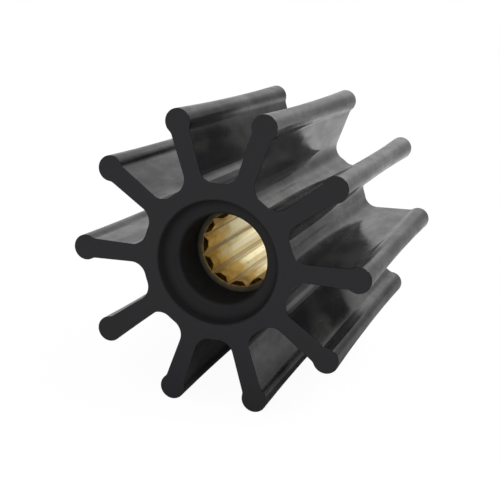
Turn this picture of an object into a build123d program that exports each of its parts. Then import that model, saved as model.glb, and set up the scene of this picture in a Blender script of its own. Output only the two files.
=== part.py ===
from build123d import *
from math import radians, sin, tan
import os

# Flexible impeller of a ship's raw-water pump, in millimetres: a moulded rubber wheel of ten
# vanes, bonded round a splined brass insert that the pump's shaft slides into.
# The shaft axis lies along Y and the front face looks towards -Y. The wheel lies on two
# neighbouring vanes, as it does on a bench. The origin is on the axis, half way along it.

# Whole wheel
outside_diameter = 95.0
wheel_width = 95.5

# Vanes, each a blade that thickens a little outwards and ends in a round bead
vane_count = 10
vane_root_thickness = 5.2
vane_neck_thickness = 6.3
bead_overhang = 0.85
root_fillet = 4.8
neck_fillet = 2.5

# Brass insert with its internal spline
spline_teeth = 12
spline_major_diameter = 24.8
tooth_height = 1.5
groove_bottom_width = 0.8
tooth_flank_angle = 42.0
tooth_tip_fillet = 0.6
lead_in_height = 1.1
insert_wall = 4.1
insert_setback = 20.0

# Rubber hub, from the insert outwards, with the same hollow at both ends
end_lip = 2.5
recess_step = 5.1
recess_depth = 5.0
recess_draft_angle = 12.0
recess_corner_fillet = 3.0
ridge_chamfer = 0.6
hub_wall = 5.0

# Sizes along the axis that follow, from the middle of the wheel
face_y = wheel_width / 2
insert_face_y = face_y - insert_setback
recess_floor_y = face_y - recess_depth

# Radii that follow, from the spline outwards
spline_major_radius = spline_major_diameter / 2
spline_minor_radius = spline_major_radius - tooth_height
lead_in_radius = spline_minor_radius + lead_in_height
insert_radius = spline_major_radius + insert_wall
bore_radius = insert_radius - end_lip
recess_mouth_radius = bore_radius + recess_step
recess_floor_radius = recess_mouth_radius - recess_depth * tan(radians(recess_draft_angle))
hub_radius = recess_mouth_radius + hub_wall
bead_radius = vane_neck_thickness / 2 + bead_overhang
bead_centre_radius = outside_diameter / 2 - bead_radius

# The root fillets of two neighbouring vanes can't be larger than the round that fills the gap.
half_pitch_angle = 180 / vane_count
half_pitch_sine = sin(radians(half_pitch_angle))
full_round = (hub_radius * half_pitch_sine - vane_root_thickness / 2) / (1 - half_pitch_sine)
root_radius = min(root_fillet, 0.9 * full_round)

# Planes of the two sections, turned about the axis. The first vane stands half a pitch from
# straight down, and the first groove half a pitch from X, so a tooth of the spline is on X.
vane_plane = Plane.XZ.rotated((0, 90 - half_pitch_angle, 0))
spline_plane = Plane.XZ.rotated((0, 180 / spline_teeth, 0))


def by_distance(vertex):
    return round(vertex.center().length, 2)


def floor_corners(sketch):
    # The ridge over the bore comes first, then the corner under the recess's wall
    on_floor = sketch.vertices().filter_by_position(Axis.X, recess_floor_y, recess_floor_y)
    return on_floor.sort_by(Axis.Y)


# Section of one vane, along its own x from the axis outwards
with BuildSketch() as vane_section:
    with BuildLine():
        Polyline(
            (0, -vane_root_thickness / 2),
            (hub_radius - root_radius, -vane_root_thickness / 2),
            (bead_centre_radius, -vane_neck_thickness / 2),
            (bead_centre_radius, vane_neck_thickness / 2),
            (hub_radius - root_radius, vane_root_thickness / 2),
            (0, vane_root_thickness / 2),
            close=True,
        )
    make_face()
    with Locations((bead_centre_radius, 0)):
        Circle(bead_radius)
    necks = vertices().filter_by(lambda vertex: hub_radius < vertex.X < bead_centre_radius)
    fillet(necks, neck_fillet)

# Moulded rubber wheel
with BuildPart() as rubber_wheel:
    with BuildSketch(vane_plane):
        Circle(hub_radius)
        with PolarLocations(0, vane_count):
            add(vane_section.sketch)
        roots = vertices().group_by(by_distance)[0]
        fillet(roots, root_radius)
    extrude(amount=face_y, both=True)

    # Hollow of the hub, turned about the axis: at each end a recess and a bore, and between them
    # the seat of the insert. Half of it is drawn, with the sketch's x along the axis.
    with BuildSketch(Plane.YZ) as hollow:
        with BuildLine():
            Polyline(
                (0, 0),
                (face_y, 0),
                (face_y, recess_mouth_radius),
                (recess_floor_y, recess_floor_radius),
                (recess_floor_y, bore_radius),
                (insert_face_y, bore_radius),
                (insert_face_y, insert_radius),
                (0, insert_radius),
                close=True,
            )
        make_face()
        fillet(floor_corners(hollow)[-1], recess_corner_fillet)
        chamfer(floor_corners(hollow)[0], ridge_chamfer)
        mirror(about=Plane.YZ)
    revolve(axis=Axis.Y, mode=Mode.SUBTRACT)
rubber_wheel.part.label = "rubber_wheel"

# One broached groove of the spline, along its own x, drawn on past the teeth into the bore
groove_reach = 2 * tooth_height
reach_half_width = groove_bottom_width / 2 + groove_reach * tan(radians(tooth_flank_angle))
with BuildSketch() as groove_section:
    with BuildLine():
        Polyline(
            (spline_major_radius - groove_reach, -reach_half_width),
            (spline_major_radius, -groove_bottom_width / 2),
            (spline_major_radius, groove_bottom_width / 2),
            (spline_major_radius - groove_reach, reach_half_width),
            close=True,
        )
    make_face()

# Brass insert
with BuildPart() as splined_insert:
    with BuildSketch(spline_plane):
        Circle(insert_radius)
        Circle(spline_minor_radius, mode=Mode.SUBTRACT)
        with PolarLocations(0, spline_teeth):
            add(groove_section.sketch, mode=Mode.SUBTRACT)
        tooth_tips = vertices().group_by(by_distance)[0]
        fillet(tooth_tips, tooth_tip_fillet)
    extrude(amount=insert_face_y, both=True)

    # Lead-in for the shaft at both ends of the teeth, at 45 degrees
    with BuildSketch(Plane.YZ):
        with BuildLine():
            Polyline(
                (insert_face_y, 0),
                (insert_face_y, lead_in_radius),
                (insert_face_y - lead_in_radius, 0),
                close=True,
            )
        make_face()
        mirror(about=Plane.YZ)
    revolve(axis=Axis.Y, mode=Mode.SUBTRACT)
splined_insert.part.label = "splined_insert"

os.makedirs("parts", exist_ok=True)
for piece in (rubber_wheel, splined_insert):
    export_step(piece.part, f"parts/{piece.part.label}.step")
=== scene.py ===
import math

import bmesh
import bpy
from mathutils import Euler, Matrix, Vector


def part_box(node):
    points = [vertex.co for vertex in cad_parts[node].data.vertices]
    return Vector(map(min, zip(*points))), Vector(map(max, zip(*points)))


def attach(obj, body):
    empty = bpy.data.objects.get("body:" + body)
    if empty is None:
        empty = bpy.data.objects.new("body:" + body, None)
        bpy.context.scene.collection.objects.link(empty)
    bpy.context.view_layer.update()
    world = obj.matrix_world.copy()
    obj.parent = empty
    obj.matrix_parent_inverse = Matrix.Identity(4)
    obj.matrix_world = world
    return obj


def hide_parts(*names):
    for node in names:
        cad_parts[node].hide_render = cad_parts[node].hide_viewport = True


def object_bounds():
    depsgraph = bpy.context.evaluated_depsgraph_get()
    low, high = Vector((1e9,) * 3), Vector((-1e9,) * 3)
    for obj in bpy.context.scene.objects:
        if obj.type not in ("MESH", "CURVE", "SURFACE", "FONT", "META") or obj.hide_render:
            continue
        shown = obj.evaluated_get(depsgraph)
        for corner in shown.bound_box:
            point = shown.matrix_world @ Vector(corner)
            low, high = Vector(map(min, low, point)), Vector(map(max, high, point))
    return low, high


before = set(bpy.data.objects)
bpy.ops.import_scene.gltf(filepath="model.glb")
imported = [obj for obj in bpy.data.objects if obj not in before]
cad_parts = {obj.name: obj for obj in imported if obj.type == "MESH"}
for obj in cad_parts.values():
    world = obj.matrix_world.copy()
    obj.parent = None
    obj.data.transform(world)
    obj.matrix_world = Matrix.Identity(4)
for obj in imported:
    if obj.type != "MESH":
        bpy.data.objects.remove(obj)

cadLow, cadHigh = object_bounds()
mm = 0.001
weldReach = 0.0005 * mm             # points closer than this become one
flatReach = 0.01 * mm               # what lies this close to an end is its flat face
shareSlack = 0.0001                 # room for rounding where a share is compared with 1
sharpAngle = math.radians(38)       # edges that turn more than this stay crisp
print("frame loaded:", ", ".join(sorted(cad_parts)))


# Node trees, for geometry and for materials alike

def emptyTree(owner):
    owner.use_nodes = True
    owner.node_tree.nodes.clear()
    return owner.node_tree


def addNode(tree, kind, inputs=None, **settings):
    made = tree.nodes.new(kind)
    for name, value in settings.items():
        setattr(made, name, value)
    for socket, value in (inputs or {}).items():
        if isinstance(value, bpy.types.NodeSocket):
            tree.links.new(value, made.inputs[socket])
        else:
            made.inputs[socket].default_value = value
    return made


def mathNode(tree, operation, first, second=0.0, third=0.0):
    inputs = {0: first, 1: second, 2: third}
    return addNode(tree, "ShaderNodeMath", inputs, operation=operation).outputs[0]


def spread(tree, value, low, high, toLow, toHigh, kind="LINEAR"):
    # low to high becomes toLow to toHigh, and nothing goes past them
    return addNode(tree, "ShaderNodeMapRange", {
        "Value": value, "From Min": low, "From Max": high, "To Min": toLow, "To Max": toHigh},
        interpolation_type=kind).outputs[0]


def partsOf(tree, vector):
    return addNode(tree, "ShaderNodeSeparateXYZ", {0: vector}).outputs


def vectorOf(tree, **parts):
    return addNode(tree, "ShaderNodeCombineXYZ", parts).outputs[0]


def vectorNode(tree, operation, first, second):
    inputs = {0: first, 1: second}
    return addNode(tree, "ShaderNodeVectorMath", inputs, operation=operation).outputs[0]


def lengthOf(tree, vector):
    return addNode(tree, "ShaderNodeVectorMath", {0: vector}, operation="LENGTH").outputs["Value"]


def scaled(tree, vector, factor):
    inputs = {0: vector, "Scale": factor}
    return addNode(tree, "ShaderNodeVectorMath", inputs, operation="SCALE").outputs[0]


def fromAxis(tree, place):
    # distance from the shaft's axis, which lies along Y
    parts = partsOf(tree, place)
    return lengthOf(tree, vectorOf(tree, X=parts["X"], Z=parts["Z"]))


def newGeometryTree(name, sockets):
    tree = bpy.data.node_groups.new(name, "GeometryNodeTree")
    tree.interface.new_socket(name="Geometry", in_out="OUTPUT", socket_type="NodeSocketGeometry")
    tree.interface.new_socket(name="Guides", in_out="INPUT", socket_type="NodeSocketGeometry")
    for label, kind in sockets.items():
        tree.interface.new_socket(name=label, in_out="INPUT", socket_type="NodeSocket" + kind)
    return tree, tree.nodes.new("NodeGroupInput").outputs


def runTree(name, guides, tree, values):
    # runs the tree on the guide lines and returns a plain mesh object, welded and facing outwards
    holder = bpy.data.objects.new(name + "Guides", guides)
    bpy.context.scene.collection.objects.link(holder)
    modifier = holder.modifiers.new(name, "NODES")
    modifier.node_group = tree
    for item in tree.interface.items_tree:
        if item.in_out == "INPUT" and item.name in values:
            modifier[item.identifier] = values[item.name]
    bpy.context.view_layer.update()
    evaluated = holder.evaluated_get(bpy.context.evaluated_depsgraph_get())
    mesh = bpy.data.meshes.new_from_object(evaluated)
    holder.modifiers.remove(modifier)
    bpy.data.objects.remove(holder)
    shape = bmesh.new()
    shape.from_mesh(mesh)
    bmesh.ops.remove_doubles(shape, verts=shape.verts, dist=weldReach)
    bmesh.ops.dissolve_degenerate(shape, edges=shape.edges, dist=weldReach)
    bmesh.ops.recalc_face_normals(shape, faces=shape.faces)
    shape.to_mesh(mesh)
    shape.free()
    mesh.shade_smooth()
    mesh.set_sharp_from_angle(angle=sharpAngle)
    mesh.name = name
    piece = bpy.data.objects.new(name, mesh)
    bpy.context.scene.collection.objects.link(piece)
    print(name, "made:", len(mesh.polygons), "faces")
    return piece


# Outlines: straight stretches, and arcs tangent to them

def angleOf(vector):
    return math.atan2(vector.y, vector.x)


def arc(centre, radius, start, end, steps):
    # the short way round, with both ends
    turn = (end - start + math.pi) % (2 * math.pi) - math.pi
    angles = [start + turn * step / steps for step in range(steps + 1)]
    return [centre + radius * Vector((math.cos(angle), math.sin(angle))) for angle in angles]


def filletCentre(start, along, outward, radius, middle, reach, far):
    # centre of a fillet between a line and a circle: radius off the line, and reach from the
    # circle's middle
    offset = start + outward * radius - middle
    nearest = -offset.dot(along)
    half = math.sqrt(nearest ** 2 - offset.length_squared + reach ** 2)
    return middle + offset + along * (nearest + half if far else nearest - half)


def roundCorners(corners, steps):
    # corners are (x, y, radius), from one end of an open outline to the other
    points = []
    for index, (x, y, radius) in enumerate(corners):
        corner = Vector((x, y))
        if radius == 0:
            points.append(corner)
            continue
        back = (Vector(corners[index - 1][:2]) - corner).normalized()
        onward = (Vector(corners[index + 1][:2]) - corner).normalized()
        halfAngle = back.angle(onward) / 2
        centre = corner + (back + onward).normalized() * radius / math.sin(halfAngle)
        reach = radius / math.tan(halfAngle)
        first, last = corner + back * reach - centre, corner + onward * reach - centre
        points += arc(centre, radius, angleOf(first), angleOf(last), steps)
    return points


def mirrored(half):
    # half an outline, from its middle outwards, and its mirror image below the x axis before it
    whole = [Vector((point.x, -point.y)) for point in reversed(half[1:])] + half
    kept = [whole[0]]
    for point in whole[1:]:
        if (point - kept[-1]).length > weldReach:
            kept.append(point)
    return kept


def guideMesh(name, pitch, turned=()):
    # the outline that is repeated round the shaft, and the one that is turned about it
    points = [(point.x, point.y, 0) for point in [*pitch, *turned]]
    edges = [(index, index + 1) for index in range(len(points) - 1) if index != len(pitch) - 1]
    mesh = bpy.data.meshes.new(name)
    mesh.from_pydata(points, edges, [])
    isTurned = mesh.attributes.new("isTurned", "BOOLEAN", "POINT")
    isTurned.data.foreach_set("value", [False] * len(pitch) + [True] * len(turned))
    return mesh


# Parts of a geometry tree that the wheel and the insert share. The trees work with the shaft
# along Z, and layDown turns it to Y.

def positionOf(tree):
    return addNode(tree, "GeometryNodeInputPosition").outputs[0]


def move(tree, geometry, **where):
    # where is an Offset or a new Position, and may have a Selection
    return addNode(tree, "GeometryNodeSetPosition", {"Geometry": geometry, **where}).outputs[0]


def eased(tree, share):
    # shares from -1 to 1, drawn closer together towards both
    return mathNode(tree, "SINE", mathNode(tree, "MULTIPLY", share, math.pi / 2))


def flatNormals(tree, curve):
    return addNode(tree, "GeometryNodeSetCurveNormal", {"Curve": curve}, mode="Z_UP").outputs[0]


def ringFromPitch(tree, pitch, count, firstAngle):
    # copies of one pitch round the shaft, joined to one closed curve
    index = addNode(tree, "GeometryNodeInputIndex").outputs["Index"]
    step = mathNode(tree, "DIVIDE", 2 * math.pi, count)
    angle = mathNode(tree, "MULTIPLY_ADD", index, step, firstAngle)
    turn = addNode(tree, "FunctionNodeAxisAngleToRotation", {"Axis": (0, 0, 1), "Angle": angle})
    places = addNode(tree, "GeometryNodePoints", {"Count": count})
    copies = addNode(tree, "GeometryNodeInstanceOnPoints", {
        "Points": places.outputs[0], "Instance": pitch, "Rotation": turn.outputs[0]})
    real = addNode(tree, "GeometryNodeRealizeInstances", {"Geometry": copies.outputs[0]})
    points = addNode(tree, "GeometryNodeMeshToPoints", {"Mesh": real.outputs[0]})
    line = addNode(tree, "GeometryNodePointsToCurves", {
        "Points": points.outputs[0], "Weight": index})
    closed = addNode(tree, "GeometryNodeSetSplineCyclic", {
        "Geometry": line.outputs[0], "Cyclic": True})
    return flatNormals(tree, closed.outputs[0])


def sweep(tree, curve, profile):
    return addNode(tree, "GeometryNodeCurveToMesh", {"Curve": curve, "Profile Curve": profile}).outputs[0]


def circleRound(tree, steps, radius):
    inputs = {"Resolution": steps, "Radius": radius}
    return flatNormals(tree, addNode(tree, "GeometryNodeCurvePrimitiveCircle", inputs).outputs[0])


def endCaps(tree, walls, halfLength):
    # fills the ring between the open loops of the walls at each end
    height = partsOf(tree, positionOf(tree))["Z"]
    faces = addNode(tree, "GeometryNodeInputMeshEdgeNeighbors").outputs[0]
    isOpen = addNode(tree, "FunctionNodeCompare", {"A": faces, "B": 1},
                     data_type="INT", operation="EQUAL").outputs[0]
    caps = []
    for side in (1, -1):
        onSide = mathNode(tree, "GREATER_THAN", mathNode(tree, "MULTIPLY", height, side), 0.0)
        loop = addNode(tree, "FunctionNodeBooleanMath", {0: isOpen, 1: onSide}, operation="AND")
        curve = addNode(tree, "GeometryNodeMeshToCurve", {
            "Mesh": walls, "Selection": loop.outputs[0]})
        fill = addNode(tree, "GeometryNodeFillCurve", {"Curve": curve.outputs[0]}, mode="TRIANGLES")
        lift = vectorOf(tree, Z=mathNode(tree, "MULTIPLY", halfLength, side))
        caps.append(move(tree, fill.outputs[0], Offset=lift))
    return caps


def joinAll(tree, parts):
    join = addNode(tree, "GeometryNodeJoinGeometry")
    for part in reversed(parts):
        tree.links.new(part, join.inputs[0])
    return join.outputs[0]


def layDown(tree, solid, given):
    # turns the shaft from Z to Y, front face towards -Y, and then gives the hollow and the flat
    # ends materials of their own
    turn = addNode(tree, "GeometryNodeTransform", {
        "Geometry": solid, "Rotation": Euler((math.pi / 2, 0, 0))})
    real = addNode(tree, "GeometryNodeRealizeInstances", {"Geometry": turn.outputs[0]})
    place = positionOf(tree)
    inHollow = mathNode(tree, "LESS_THAN", fromAxis(tree, place), given["Hollow Reach"])
    fromMiddle = mathNode(tree, "ABSOLUTE", partsOf(tree, place)["Y"])
    flatStart = mathNode(tree, "SUBTRACT", given["Half Length"], flatReach)
    atEnd = mathNode(tree, "GREATER_THAN", fromMiddle, flatStart)
    painted = real.outputs[0]
    finishes = {"Outer Material": True, "Hollow Material": inHollow, "End Material": atEnd}
    for material, chosen in finishes.items():
        painted = addNode(tree, "GeometryNodeSetMaterial", {
            "Geometry": painted, "Selection": chosen, "Material": given[material]}).outputs[0]
    tree.links.new(painted, tree.nodes.new("NodeGroupOutput").inputs[0])


# Parts of a material. A scale counts features in a metre, and a stretch under 1 makes them longer
# that way. A pair of limits says which noise gives none of something, and which gives all of it.

def newMaterial(name, constants):
    material = bpy.data.materials.new(name)
    tree = emptyTree(material)
    shader = addNode(tree, "ShaderNodeBsdfPrincipled", constants)
    addNode(tree, "ShaderNodeOutputMaterial", {"Surface": shader.outputs[0]})
    place = addNode(tree, "ShaderNodeTexCoord").outputs["Object"]
    return material, tree, shader, place


def feed(tree, shader, values):
    for socket, value in values.items():
        tree.links.new(value, shader.inputs[socket])


def noise(tree, place, scale, stretch=(1, 1, 1), detail=4.0, roughness=0.55):
    mapping = addNode(tree, "ShaderNodeMapping", {"Vector": place, "Scale": stretch})
    return addNode(tree, "ShaderNodeTexNoise", {
        "Vector": mapping.outputs[0], "Scale": scale,
        "Detail": detail, "Roughness": roughness}).outputs[0]


def mixColour(tree, factor, first, second):
    colours = [value if isinstance(value, bpy.types.NodeSocket) else (*value, 1)
               for value in (first, second)]
    inputs = {0: factor, 6: colours[0], 7: colours[1]}
    return addNode(tree, "ShaderNodeMix", inputs, data_type="RGBA").outputs[2]


def bump(tree, height, distance, after=None):
    inputs = {"Height": height, "Distance": distance}
    if after is not None:
        inputs["Normal"] = after
    return addNode(tree, "ShaderNodeBump", inputs).outputs[0]


# Rubber of the vanes and of the hub between them

rubber = {
    "black": (0.008, 0.008, 0.0095),
    "bloom": (0.021, 0.020, 0.017),     # the grey film that moulded rubber gets in patches
    "bloomLimits": (0.45, 0.70),
    "bloomWear": 0.6,                   # how much the film counts against the streaks as wear
    "specular": 0.28,
    "streakScale": 130,
    "streakStretch": (1, 0.12, 1),      # the mould's streaks run along the shaft
    "streakDepth": 0.012 * mm,
    "patchScale": 110,
    "patchStretch": (1, 0.45, 1),
    "patchDepth": 0.05 * mm,
    "glossyRoughness": 0.08,
    "dullRoughness": 0.31,
    "wearLimits": (0.45, 1.10),
    "wax": 0.6,                         # traces of the mould's release wax
    "waxScale": 105,
    "waxLimits": (0.38, 0.66),
    "waxRoughness": 0.12,
    "beadStart": 38 * mm,               # from the shaft's axis
    "beadEnd": 41 * mm,
    "beadRoughness": 0.07,              # added to the rest there
}


def mouldedRubber():
    material, tree, shader, place = newMaterial("mouldedRubber", {
        "Specular IOR Level": rubber["specular"], "Coat Roughness": rubber["waxRoughness"]})
    streaks = noise(tree, place, rubber["streakScale"], rubber["streakStretch"], detail=2.0)
    patches = noise(tree, place, rubber["patchScale"], rubber["patchStretch"])
    film = spread(tree, patches, *rubber["bloomLimits"], 0.0, 1.0)
    wear = mathNode(tree, "MULTIPLY_ADD", film, rubber["bloomWear"], streaks)
    matt = spread(tree, wear, *rubber["wearLimits"], rubber["glossyRoughness"], rubber["dullRoughness"])
    # the beads are duller than the flanks, which show what they mirror
    dull = spread(tree, fromAxis(tree, place), rubber["beadStart"], rubber["beadEnd"],
                  0.0, rubber["beadRoughness"])
    smears = noise(tree, place, rubber["waxScale"], rubber["patchStretch"], detail=5.0, roughness=0.6)
    waves = bump(tree, streaks, rubber["streakDepth"])
    feed(tree, shader, {
        "Base Color": mixColour(tree, film, rubber["black"], rubber["bloom"]),
        "Roughness": mathNode(tree, "ADD", matt, dull),
        "Coat Weight": spread(tree, smears, *rubber["waxLimits"], 0.0, rubber["wax"]),
        "Normal": bump(tree, patches, rubber["patchDepth"], after=waves)})
    return material


# Rubber without a gloss: the end faces, and the hollow

mattRubber = {
    "ground": (0.019, 0.019, 0.022),    # the end faces, where the black is ground grey
    "coreWithShade": (0.014, 0.014, 0.016),      # the hollow, darker than the end faces: the moulded hollow's own black, and painted shade of the recess
    "specular": 0.25,
    "patchScale": 90,
    "bloomLimits": (0.35, 0.75),
    "bloomShare": 0.3,
    "grainScale": 3200,
    "grainLimits": (0.3, 0.7),
    "grainDepth": 0.02 * mm,
    "roughness": (0.62, 0.78),
}


def dullRubber(name, colour):
    material, tree, shader, place = newMaterial(name, {"Specular IOR Level": mattRubber["specular"]})
    patches = noise(tree, place, mattRubber["patchScale"], detail=6.0)
    grain = noise(tree, place, mattRubber["grainScale"], detail=2.0)
    film = spread(tree, patches, *mattRubber["bloomLimits"], 0.0, mattRubber["bloomShare"])
    feed(tree, shader, {
        "Base Color": mixColour(tree, film, colour, rubber["bloom"]),
        "Roughness": spread(tree, grain, *mattRubber["grainLimits"], *mattRubber["roughness"]),
        "Normal": bump(tree, grain, mattRubber["grainDepth"])})
    return material


# Brass of the splined bore

brass = {
    "bright": (1.00, 0.88, 0.53),
    "tarnishedAndShaded": (0.88, 0.58, 0.12),    # towards the front: tarnishing, and painted shade against the paler brass further in the bore
    "brownAndShaded": (0.42, 0.24, 0.05),        # where tarnishing and painted shade are strongest
    "tarnishAndShadeFront": -21 * mm,           # along the shaft: from here on it is at its most
    "tarnishAndShadeBack": 0.0,
    "tarnishAndShadeLean": 0.3,                 # added to the noise at the front, and taken off behind
    "tarnishAndShadeLimits": (0.32, 0.60),
    "brownAndShadeLimits": (0.66, 0.90),
    "brownAndShadeShare": 0.9,
    "patchScale": 170,
    "patchStretch": (1, 0.6, 1),
    "anisotropy": 0.95,                 # the broach's fine marks spread a reflection round the shaft
    "markScale": 700,
    "markStretch": (1, 0.05, 1),
    "markDepth": 0.004 * mm,
    "smoothRoughness": 0.34,
    "tarnishedRoughness": 0.40,
    "grooveShade": (0.40, 0.28, 0.10),         # painted shade in the bottoms of the grooves
    "grooveShadeStart": 12.1 * mm,             # from the shaft's axis
    "grooveShadeEnd": 12.4 * mm,
    "grooveShadeShare": 0.9,
    "pit": (0.30, 0.20, 0.08),
    "pitScale": 620,
    "pitStretch": (1, 0.7, 1),
    "pitLimits": (0.77, 0.83),
    "pitShare": 0.7,
}


def broachedBrass():
    material, tree, shader, place = newMaterial("broachedBrass", {
        "Metallic": 1.0, "Anisotropic": brass["anisotropy"]})
    tangent = addNode(tree, "ShaderNodeTangent", direction_type="RADIAL", axis="Y")
    marks = noise(tree, place, brass["markScale"], brass["markStretch"], detail=2.0)
    patches = noise(tree, place, brass["patchScale"], brass["patchStretch"])
    pits = noise(tree, place, brass["pitScale"], brass["pitStretch"], detail=0.0)
    # tarnishing along the shaft that also paints light: paler brass further in the bore, darker and browner
    # towards the front
    towardsFront = spread(tree, partsOf(tree, place)["Y"], brass["tarnishAndShadeFront"], brass["tarnishAndShadeBack"],
                          brass["tarnishAndShadeLean"], -brass["tarnishAndShadeLean"])
    ageAndShade = mathNode(tree, "ADD", patches, towardsFront)
    tarnishAndShade = spread(tree, ageAndShade, *brass["tarnishAndShadeLimits"], 0.0, 1.0)
    brownedAndShaded = spread(tree, ageAndShade, *brass["brownAndShadeLimits"], 0.0, brass["brownAndShadeShare"])
    # painted shade darkens the bottoms of the grooves
    deep = spread(tree, fromAxis(tree, place), brass["grooveShadeStart"], brass["grooveShadeEnd"],
                  0.0, brass["grooveShadeShare"])
    pitted = spread(tree, pits, *brass["pitLimits"], 0.0, brass["pitShare"])
    colour = mixColour(tree, tarnishAndShade, brass["bright"], brass["tarnishedAndShaded"])
    for share, name in ((brownedAndShaded, "brownAndShaded"), (deep, "grooveShade"), (pitted, "pit")):
        colour = mixColour(tree, share, colour, brass[name])
    feed(tree, shader, {
        "Base Color": colour,
        "Roughness": spread(tree, tarnishAndShade, 0.0, 1.0, brass["smoothRoughness"], brass["tarnishedRoughness"]),
        "Normal": bump(tree, marks, brass["markDepth"]),
        "Tangent": tangent.outputs[0]})
    return material


# Brass of the insert's end faces, stained in patches, and darker towards the rubber with painted shade

brassEnds = {
    "metallic": 0.6,
    "roughness": 0.55,
    "open": (0.17, 0.13, 0.07),
    # painted shade where the end face meets the rubber wall
    "bonded": (0.055, 0.045, 0.03),
    "wallShadeStart": 12 * mm,               # from the shaft's axis
    "wallShadeEnd": 15 * mm,
    "stainScale": 300,
    "stainLimits": (0.35, 1.05),
    "stainDepth": 0.03 * mm,
}


def turnedBrass():
    material, tree, shader, place = newMaterial("turnedBrass", {
        "Metallic": brassEnds["metallic"], "Roughness": brassEnds["roughness"]})
    stains = noise(tree, place, brassEnds["stainScale"], detail=5.0)
    width = brassEnds["wallShadeEnd"] - brassEnds["wallShadeStart"]
    # painted shade, growing towards the rubber wall round the end face
    bonded = mathNode(tree, "MULTIPLY_ADD", fromAxis(tree, place), 1 / width, -brassEnds["wallShadeStart"] / width)
    shade = spread(tree, mathNode(tree, "ADD", stains, bonded), *brassEnds["stainLimits"], 0.0, 1.0)
    feed(tree, shader, {
        "Base Color": mixColour(tree, shade, brassEnds["open"], brassEnds["bonded"]),
        "Normal": bump(tree, stains, brassEnds["stainDepth"])})
    return material


# Rubber wheel: ten vanes and their hub, one moulding

wheel = {
    "vanes": 10,
    "outerRadius": cadHigh.x,
    "halfLength": cadHigh.y,
    "hubRadius": 24.1 * mm,
    "rootThickness": 5.2 * mm,
    "neckThickness": 6.3 * mm,
    "beadOverhang": 0.85 * mm,
    "rootFillet": 4.8 * mm,
    "neckFillet": 2.5 * mm,
    "beadSteps": 16,                # of the outline's half, from the bead's tip to the gap
    "neckSteps": 6,
    "flankSteps": 12,
    "rootSteps": 10,
    "hubSteps": 3,
    "edgeRound": 0.2 * mm,          # the soft edge round both end faces
    "edgeBorder": 0.15 * mm,        # flat strip inside that edge, which keeps the end face flat to the eye
    "edgeSteps": 4,
    "rows": 40,
    "mouthRadius": 19.1 * mm,
    "mouthRound": 0.6 * mm,
    "recessDepth": 5.0 * mm,
    "recessDraft": math.radians(12),
    "recessFillet": 3.0 * mm,
    "boreRadius": 14.0 * mm,
    "ridgeRound": 1.4 * mm,
    "seatRadius": 16.5 * mm,
    "seatDepth": 20.0 * mm,
    "cornerSteps": 8,
    "turnSteps": 144,
    "waist": 0.50 * mm,             # how much slimmer a side beads and necks are half way along
    "waistStart": 18 * mm,          # where that starts, inwards from the bead's middle
    "waistFull": 4 * mm,            # and from where on it is whole
    "unevenness": 0.10 * mm,        # how far the moulded faces wander from true
    "lumpScale": 75,
    "lumpStretch": (1, 1, 0.35),
    "lumpEnds": (0.5, 0.985),       # shares of the half length between which the lumps fade out
    "seed": 3.7,
}


def vaneOutline():
    # one pitch of the section, from gap to gap, with the vane along x
    beadRadius = wheel["neckThickness"] / 2 + wheel["beadOverhang"]
    bead = Vector((wheel["outerRadius"] - beadRadius, 0))
    hub = Vector((0, 0))
    flankStart = Vector((wheel["hubRadius"] - wheel["rootFillet"], wheel["rootThickness"] / 2))
    along = (Vector((bead.x, wheel["neckThickness"] / 2)) - flankStart).normalized()
    outward = Vector((-along.y, along.x))
    neck = filletCentre(flankStart, along, outward, wheel["neckFillet"],
                        bead, beadRadius + wheel["neckFillet"], far=False)
    root = filletCentre(flankStart, along, outward, wheel["rootFillet"],
                        hub, wheel["hubRadius"] + wheel["rootFillet"], far=True)
    half = arc(bead, beadRadius, 0, angleOf(neck - bead), wheel["beadSteps"])
    half += arc(neck, wheel["neckFillet"], angleOf(bead - neck), angleOf(-outward), wheel["neckSteps"])
    # along the flank the points lie closer together towards both fillets
    flankTop, flankFoot = half[-1], root - outward * wheel["rootFillet"]
    turns = [math.pi * step / wheel["flankSteps"] for step in range(1, wheel["flankSteps"])]
    half += [flankTop.lerp(flankFoot, 0.5 - 0.5 * math.cos(turn)) for turn in turns]
    half += arc(root, wheel["rootFillet"], angleOf(-outward), angleOf(-root), wheel["rootSteps"])
    half += arc(hub, wheel["hubRadius"], angleOf(root), math.pi / wheel["vanes"], wheel["hubSteps"])
    return mirrored(half)[:-1]


def hollowProfile():
    # x is the distance from the shaft's axis, y runs along it: recess, bore and seat, then the
    # same behind
    face = wheel["halfLength"]
    floor = face - wheel["recessDepth"]
    floorRadius = wheel["mouthRadius"] - wheel["recessDepth"] * math.tan(wheel["recessDraft"])
    seat = face - wheel["seatDepth"]
    border = wheel["mouthRound"] + wheel["edgeBorder"]
    front = [
        (wheel["mouthRadius"] + border, face, 0),
        (wheel["mouthRadius"], face, wheel["mouthRound"]),
        (floorRadius, floor, wheel["recessFillet"]),
        (wheel["boreRadius"], floor, wheel["ridgeRound"]),
        (wheel["boreRadius"], seat, 0),
        (wheel["seatRadius"], seat, 0),
    ]
    behind = [(x, -y, radius) for x, y, radius in reversed(front)]
    return roundCorners(front + behind, wheel["cornerSteps"])


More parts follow.
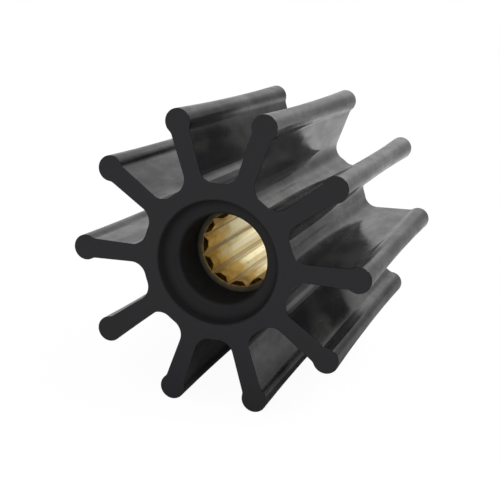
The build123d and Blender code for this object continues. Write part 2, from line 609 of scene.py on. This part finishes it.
def vaneRail(tree, given):
    # a line along the shaft, with its ends rounded inwards
    inset = mathNode(tree, "MULTIPLY", mathNode(tree, "ADD", given["Edge Round"], given["Edge Border"]), -1.0)
    high = given["Half Length"]
    low = mathNode(tree, "MULTIPLY", high, -1.0)
    rail = addNode(tree, "GeometryNodeCurvePrimitiveQuadrilateral", mode="POINTS")
    for number, (x, y) in enumerate([(inset, low), (0.0, low), (0.0, high), (inset, high)], 1):
        tree.links.new(vectorOf(tree, X=x, Y=y), rail.inputs[f"Point {number}"])
    openRail = addNode(tree, "GeometryNodeSetSplineCyclic", {"Geometry": rail.outputs[0], "Cyclic": False})
    roundRail = addNode(tree, "GeometryNodeFilletCurve", {
        "Curve": openRail.outputs[0], "Radius": given["Edge Round"], "Count": given["Edge Steps"]},
        mode="POLY").outputs[0]

    # its long stretch is the middle one, and the only one that is cut into rows
    index = addNode(tree, "GeometryNodeInputIndex").outputs[0]
    total = addNode(tree, "GeometryNodeAttributeDomainSize", {0: roundRail}, component="CURVE")
    middle = mathNode(tree, "SUBTRACT", mathNode(tree, "DIVIDE", total.outputs["Point Count"], 2.0), 1.0)
    isMiddle = addNode(tree, "FunctionNodeCompare", {0: index, 1: middle, "Epsilon": 0.1},
                       data_type="FLOAT", operation="EQUAL").outputs[0]
    cuts = mathNode(tree, "MULTIPLY", isMiddle, given["Rows"])
    cutRail = addNode(tree, "GeometryNodeSubdivideCurve", {"Curve": roundRail, "Cuts": cuts})

    # the rows lie closer together towards the ends, and the rounds past them stay
    place = partsOf(tree, positionOf(tree))
    straight = mathNode(tree, "SUBTRACT", high, given["Edge Round"])
    share = mathNode(tree, "DIVIDE", place["Y"], straight)
    onStraight = mathNode(tree, "LESS_THAN", mathNode(tree, "ABSOLUTE", share), 1 - shareSlack)
    easedPlace = vectorOf(tree, X=place["X"], Y=mathNode(tree, "MULTIPLY", eased(tree, share), straight))
    return move(tree, cutRail.outputs[0], Selection=onStraight, Position=easedPlace)


def softVanes(tree, given, vanes):
    # beads and necks slimmer half way along, and faces that aren't quite true; both fade out
    # towards the ends
    position = positionOf(tree)
    place = partsOf(tree, position)
    along = mathNode(tree, "ABSOLUTE", mathNode(tree, "DIVIDE", place["Z"], given["Half Length"]))
    towardsMiddle = mathNode(tree, "SUBTRACT", 1.0, mathNode(tree, "POWER", along, 2.0))
    reach = lengthOf(tree, vectorOf(tree, X=place["X"], Y=place["Y"]))
    start = mathNode(tree, "SUBTRACT", given["Bead Reach"], wheel["waistStart"])
    full = mathNode(tree, "SUBTRACT", given["Bead Reach"], wheel["waistFull"])
    onBead = spread(tree, reach, start, full, 0.0, 1.0, "SMOOTHSTEP")
    slim = mathNode(tree, "MULTIPLY", mathNode(tree, "MULTIPLY", given["Waist"], onBead), towardsMiddle)
    lumps = addNode(tree, "ShaderNodeTexNoise", {
        "Vector": vectorNode(tree, "MULTIPLY", position, wheel["lumpStretch"]),
        "W": given["Seed"], "Scale": wheel["lumpScale"], "Detail": 2.0}, noise_dimensions="4D")
    fade = spread(tree, along, *wheel["lumpEnds"], 1.0, 0.0, "SMOOTHSTEP")
    uneven = mathNode(tree, "MULTIPLY", given["Unevenness"], lumps.outputs[0])
    rough = mathNode(tree, "MULTIPLY", uneven, fade)
    inwards = mathNode(tree, "MULTIPLY", mathNode(tree, "ADD", slim, rough), -1.0)
    normal = addNode(tree, "GeometryNodeInputNormal").outputs[0]
    return move(tree, vanes, Offset=scaled(tree, normal, inwards))


def turnedHollow(tree, given, outline):
    # the hollow's outline turned about the shaft, on a circle as wide as the bore
    back = vectorOf(tree, X=mathNode(tree, "MULTIPLY", given["Bore Radius"], -1.0))
    profile = addNode(tree, "GeometryNodeMeshToCurve", {"Mesh": move(tree, outline, Offset=back)})
    return sweep(tree, circleRound(tree, given["Turn Steps"], given["Bore Radius"]), profile.outputs[0])


def wheelTree():
    tree, given = newGeometryTree("wheelNodes", {
        "Vanes": "Int", "Half Length": "Float", "Edge Round": "Float", "Edge Border": "Float",
        "Edge Steps": "Int", "Rows": "Int", "Bore Radius": "Float", "Turn Steps": "Int",
        "Waist": "Float", "Bead Reach": "Float", "Unevenness": "Float", "Seed": "Float",
        "Hollow Reach": "Float", "Outer Material": "Material", "Hollow Material": "Material",
        "End Material": "Material"})
    isTurned = addNode(tree, "GeometryNodeInputNamedAttribute", {"Name": "isTurned"}, data_type="BOOLEAN")
    guides = addNode(tree, "GeometryNodeSeparateGeometry", {
        "Geometry": given["Guides"], "Selection": isTurned.outputs[0]}).outputs
    # the vanes' outline runs round the shaft and carries the rail along it
    ring = ringFromPitch(tree, guides["Inverted"], given["Vanes"], 0.0)
    vanes = softVanes(tree, given, sweep(tree, ring, vaneRail(tree, given)))
    walls = joinAll(tree, [vanes, turnedHollow(tree, given, guides["Selection"])])
    solid = joinAll(tree, [walls, *endCaps(tree, walls, given["Half Length"])])
    layDown(tree, solid, given)
    return tree


rubberWheel = runTree("rubberWheel", guideMesh("wheelGuides", vaneOutline(), hollowProfile()), wheelTree(), {
    "Vanes": wheel["vanes"], "Half Length": wheel["halfLength"], "Edge Round": wheel["edgeRound"],
    "Edge Border": wheel["edgeBorder"], "Edge Steps": wheel["edgeSteps"], "Rows": wheel["rows"],
    "Bore Radius": wheel["boreRadius"], "Turn Steps": wheel["turnSteps"], "Waist": wheel["waist"],
    "Bead Reach": wheel["outerRadius"] - wheel["neckThickness"] / 2 - wheel["beadOverhang"],
    "Unevenness": wheel["unevenness"], "Seed": wheel["seed"],
    "Hollow Reach": wheel["mouthRadius"] + wheel["mouthRound"], "Outer Material": mouldedRubber(),
    # the hollow's colour carries painted shade of the recess
    "Hollow Material": dullRubber("coreRubberWithShade", mattRubber["coreWithShade"]),
    "End Material": dullRubber("groundRubber", mattRubber["ground"])})
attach(rubberWheel, "root")
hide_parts("rubber_wheel")


# Brass insert with the broached spline that takes the shaft

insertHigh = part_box("splined_insert")[1]
insert = {
    "grooves": 12,
    "outerRadius": insertHigh.z,
    "halfLength": insertHigh.y,
    "bottomRadius": 12.4 * mm,
    "toothHeight": 1.5 * mm,
    "bottomWidth": 0.8 * mm,
    "flankAngle": math.radians(42),
    "tipFillet": 0.6 * mm,
    "flankSteps": 4,
    "tipSteps": 8,
    "crestSteps": 3,
    "leadIn": 1.3 * mm,
    "edgeRound": 0.05 * mm,
    "rows": 72,
    "turnSteps": 144,
}


def grooveOutline():
    # one pitch of the spline, from tooth to tooth, with the groove along x
    axis = Vector((0, 0))
    crest = insert["bottomRadius"] - insert["toothHeight"]
    bottom = Vector((insert["bottomRadius"], insert["bottomWidth"] / 2))
    along = Vector((-math.cos(insert["flankAngle"]), math.sin(insert["flankAngle"])))
    outward = Vector((along.y, -along.x))
    tip = filletCentre(bottom, along, outward, insert["tipFillet"],
                       axis, crest + insert["tipFillet"], far=False)
    half = [Vector((insert["bottomRadius"], 0)), bottom]
    flankEnd = tip - outward * insert["tipFillet"]
    half += [bottom.lerp(flankEnd, step / insert["flankSteps"]) for step in range(1, insert["flankSteps"])]
    half += arc(tip, insert["tipFillet"], angleOf(-outward), angleOf(-tip), insert["tipSteps"])
    half += arc(axis, crest, angleOf(tip), math.pi / insert["grooves"], insert["crestSteps"])
    return mirrored(half)[:-1]


def leadInAtEnds(tree, given, teeth):
    # a 45 degree cone opens the teeth at both ends, with a small round where it meets the end face
    place = partsOf(tree, positionOf(tree))
    flat = vectorOf(tree, X=place["X"], Y=place["Y"])
    radius = lengthOf(tree, flat)
    depth = mathNode(tree, "SUBTRACT", given["Half Length"], mathNode(tree, "ABSOLUTE", place["Z"]))
    cone = mathNode(tree, "SUBTRACT", given["Lead In Radius"], depth)
    edge = given["Edge Round"]
    into = mathNode(tree, "MAXIMUM", mathNode(tree, "SUBTRACT", edge, depth), 0.0)
    chord = mathNode(tree, "SUBTRACT", mathNode(tree, "MULTIPLY", edge, edge),
                     mathNode(tree, "MULTIPLY", into, into))
    flare = mathNode(tree, "SUBTRACT", edge, mathNode(tree, "SQRT", chord))
    opened = mathNode(tree, "ADD", mathNode(tree, "MAXIMUM", radius, cone), flare)
    wide = scaled(tree, flat, mathNode(tree, "DIVIDE", opened, radius))
    newPlace = vectorNode(tree, "ADD", wide, vectorOf(tree, Z=place["Z"]))
    return move(tree, teeth, Position=newPlace)


def insertTree():
    tree, given = newGeometryTree("insertNodes", {
        "Grooves": "Int", "Half Length": "Float", "Outer Radius": "Float", "Lead In Radius": "Float",
        "Edge Round": "Float", "Rows": "Int", "Turn Steps": "Int", "Hollow Reach": "Float",
        "Outer Material": "Material", "Hollow Material": "Material", "End Material": "Material"})

    # rails along the shaft: the teeth's has rows, which lie closer together towards the ends
    low = vectorOf(tree, Y=mathNode(tree, "MULTIPLY", given["Half Length"], -1.0))
    high = vectorOf(tree, Y=given["Half Length"])
    rail = addNode(tree, "GeometryNodeCurvePrimitiveLine", {"Start": low, "End": high}).outputs[0]
    evenRail = addNode(tree, "GeometryNodeResampleCurve", {"Curve": rail, "Count": given["Rows"]})
    share = mathNode(tree, "DIVIDE", partsOf(tree, positionOf(tree))["Y"], given["Half Length"])
    easedPlace = vectorOf(tree, Y=mathNode(tree, "MULTIPLY", eased(tree, share), given["Half Length"]))
    toothRail = move(tree, evenRail.outputs[0], Position=easedPlace)

    ring = ringFromPitch(tree, given["Guides"], given["Grooves"], math.pi / insert["grooves"])
    bore = leadInAtEnds(tree, given, sweep(tree, ring, toothRail))
    outside = sweep(tree, circleRound(tree, given["Turn Steps"], given["Outer Radius"]), rail)
    walls = joinAll(tree, [bore, outside])
    solid = joinAll(tree, [walls, *endCaps(tree, walls, given["Half Length"])])
    layDown(tree, solid, given)
    return tree


turnedFinish = turnedBrass()
splinedInsert = runTree("splinedInsert", guideMesh("insertGuides", grooveOutline()), insertTree(), {
    "Grooves": insert["grooves"], "Half Length": insert["halfLength"],
    "Outer Radius": insert["outerRadius"],
    "Lead In Radius": insert["bottomRadius"] - insert["toothHeight"] + insert["leadIn"],
    "Edge Round": insert["edgeRound"], "Rows": insert["rows"], "Turn Steps": insert["turnSteps"],
    "Hollow Reach": 0.5 * (insert["bottomRadius"] + insert["outerRadius"]),
    "Outer Material": turnedFinish, "Hollow Material": broachedBrass(), "End Material": turnedFinish})
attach(splinedInsert, "root")
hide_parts("splined_insert")


# Studio: white floor, white surroundings, soft light. A glow is the brightness in reflections, and
# a pair of limits says between which directions it goes from one value to the next.

studio = {
    "floorSize": 6.0,
    "floorWhite": 1.04,
    "floorShadow": 0.08,        # how much of the object's shadow the camera sees on the floor
    "floorColour": (0.7, 0.7, 0.7),
    "floorGlow": 0.02,          # how much of the floor's own white is in reflections
    "paintedShadeGlow": 0.5,      # how much of its light is left in them to the right, where painted shade darkens the floor
    "paintedShadeLimits": (0.18, 0.36),
    "paintedShadowGlow": 0.25,      # and under the object, where a painted shadow darkens it
    "paintedShadowStart": 60 * mm,       # from the wheel's middle
    "paintedShadowEnd": 120 * mm,
    "surroundLight": 0.75,
    "backGlow": 0.88,           # of the surroundings behind the object
    "rightGlow": 0.22,          # as a share of that, to the right and above
    "rightLimits": (0.17, 0.40),
    "upShare": 0.3,             # how far above counts as to the right
    "leftGlow": 0.75,           # on the left
    "leftLimits": (-0.2, 0.05),
    "frontGlow": 0.15,          # and on the camera's side
    "frontLimits": (0.0, 0.8),
    "secondGlow": 0.60,         # of what is mirrored twice, on the floor too
}


def glowAgain(tree, rays):
    return spread(tree, rays["Glossy Depth"], 1.0, 2.0, 1.0, studio["secondGlow"])


def seenByCamera(tree, rays):
    return mathNode(tree, "MAXIMUM", rays["Is Camera Ray"], rays["Is Transmission Ray"])


def floorWhite():
    # white where it is seen, but for some shadow; in reflections its own light, with painted shade to the
    # right and a painted shadow under the object
    material = bpy.data.materials.new("floorWhite")
    tree = emptyTree(material)
    rays = addNode(tree, "ShaderNodeLightPath").outputs
    share = mathNode(tree, "MULTIPLY", seenByCamera(tree, rays), 1 - studio["floorShadow"])
    share = mathNode(tree, "MULTIPLY_ADD", rays["Is Glossy Ray"], studio["floorGlow"], share)
    place = addNode(tree, "ShaderNodeTexCoord").outputs["Object"]
    towards = addNode(tree, "ShaderNodeVectorMath", {0: place}, operation="NORMALIZE").outputs[0]
    # painted shade on the floor in reflections: darker to the right, and a painted shadow round the object
    paintedShadeRight = spread(tree, partsOf(tree, towards)["X"], *studio["paintedShadeLimits"],
                     0.0, 1 - studio["paintedShadeGlow"])
    paintedShadow = spread(tree, lengthOf(tree, place), studio["paintedShadowStart"], studio["paintedShadowEnd"],
                  1 - studio["paintedShadowGlow"], 0.0)
    dim = mathNode(tree, "MAXIMUM", paintedShadeRight, paintedShadow)
    once = mathNode(tree, "SUBTRACT", 1.0, mathNode(tree, "MULTIPLY", rays["Is Glossy Ray"], dim))
    kept = mathNode(tree, "MULTIPLY", once, glowAgain(tree, rays))
    plain = addNode(tree, "ShaderNodeBsdfDiffuse", {"Color": scaled(tree, studio["floorColour"], kept)})
    white = addNode(tree, "ShaderNodeEmission", {"Color": (1, 1, 1, 1), "Strength": studio["floorWhite"]})
    mix = addNode(tree, "ShaderNodeMixShader", {0: share, 1: plain.outputs[0], 2: white.outputs[0]})
    addNode(tree, "ShaderNodeOutputMaterial", {"Surface": mix.outputs[0]})
    return material


def makeFloor():
    half = studio["floorSize"] / 2
    corners = [(x, y, cadLow.z) for x, y in ((-half, -half), (half, -half), (half, half), (-half, half))]
    mesh = bpy.data.meshes.new("floor")
    mesh.from_pydata(corners, [], [(0, 1, 2, 3)])
    mesh.materials.append(floorWhite())
    floor = bpy.data.objects.new("floor", mesh)
    bpy.context.scene.collection.objects.link(floor)


def makeWorld():
    # white where it is seen; a plain level as light; in reflections bright behind and darker
    # round that
    world = bpy.data.worlds.new("studio")
    tree = emptyTree(world)
    rays = addNode(tree, "ShaderNodeLightPath").outputs
    towards = partsOf(tree, addNode(tree, "ShaderNodeTexCoord").outputs["Generated"])
    upRight = mathNode(tree, "MULTIPLY_ADD", towards["Z"], studio["upShare"], towards["X"])
    right = spread(tree, upRight, *studio["rightLimits"],
                   studio["backGlow"], studio["backGlow"] * studio["rightGlow"])
    left = spread(tree, towards["X"], *studio["leftLimits"], studio["leftGlow"], 1.0)
    front = spread(tree, towards["Y"], *studio["frontLimits"], studio["frontGlow"], 1.0)
    sides = mathNode(tree, "MULTIPLY", mathNode(tree, "MULTIPLY", right, left), front)
    around = mathNode(tree, "MULTIPLY", sides, glowAgain(tree, rays))
    plain = studio["surroundLight"]
    strength = mathNode(tree, "MULTIPLY_ADD", seenByCamera(tree, rays), 1 - plain, plain)
    glow = mathNode(tree, "SUBTRACT", around, plain)
    strength = mathNode(tree, "MULTIPLY_ADD", rays["Is Glossy Ray"], glow, strength)
    white = addNode(tree, "ShaderNodeBackground", {"Color": (1, 1, 1, 1), "Strength": strength})
    addNode(tree, "ShaderNodeOutputWorld", {"Surface": white.outputs[0]})
    bpy.context.scene.world = world


# The bore light stands behind and lights the brass alone, as light that falls through the bore
softboxes = {
    "keyLight": {"place": (0.9, 0.5, 1.3), "size": 0.8, "power": 12.0},
    "fillLight": {"place": (0.1, -1.2, 0.6), "size": 0.9, "power": 4.0},
    "boreLight": {"place": (0.12, 0.9, 0.2), "size": 0.6, "power": 0.45, "only": splinedInsert},
}


def makeLamps():
    for name, box in softboxes.items():
        data = bpy.data.lights.new(name, "AREA")
        data.shape = "DISK"
        data.size = box["size"]
        data.energy = box["power"]
        lamp = bpy.data.objects.new(name, data)
        bpy.context.scene.collection.objects.link(lamp)
        lamp.location = box["place"]
        lamp.rotation_euler = (-Vector(box["place"])).to_track_quat("-Z", "Y").to_euler()
        if "only" in box:
            lit = bpy.data.collections.new(name + "Lights")
            lit.objects.link(box["only"])
            lamp.light_linking.receiver_collection = lit


photographer = {
    "place": (104.62 * mm, -327.14 * mm, 78.05 * mm),
    "turn": (76.125, -2.046, 19.127),   # degrees: tilt up from straight down, roll, turn to the left
    "lens": 74.29,
    "sensor": 36.0,
    "nearest": 0.01,
}


def makeCamera():
    data = bpy.data.cameras.new("camera")
    data.lens = photographer["lens"]
    data.sensor_width = photographer["sensor"]
    data.clip_start = photographer["nearest"]
    camera = bpy.data.objects.new("camera", data)
    bpy.context.scene.collection.objects.link(camera)
    camera.location = photographer["place"]
    camera.rotation_euler = Euler([math.radians(angle) for angle in photographer["turn"]])
    bpy.context.scene.camera = camera


makeFloor()
makeWorld()
makeLamps()
makeCamera()
bpy.context.scene.view_settings.view_transform = "Standard"
print("studio made")
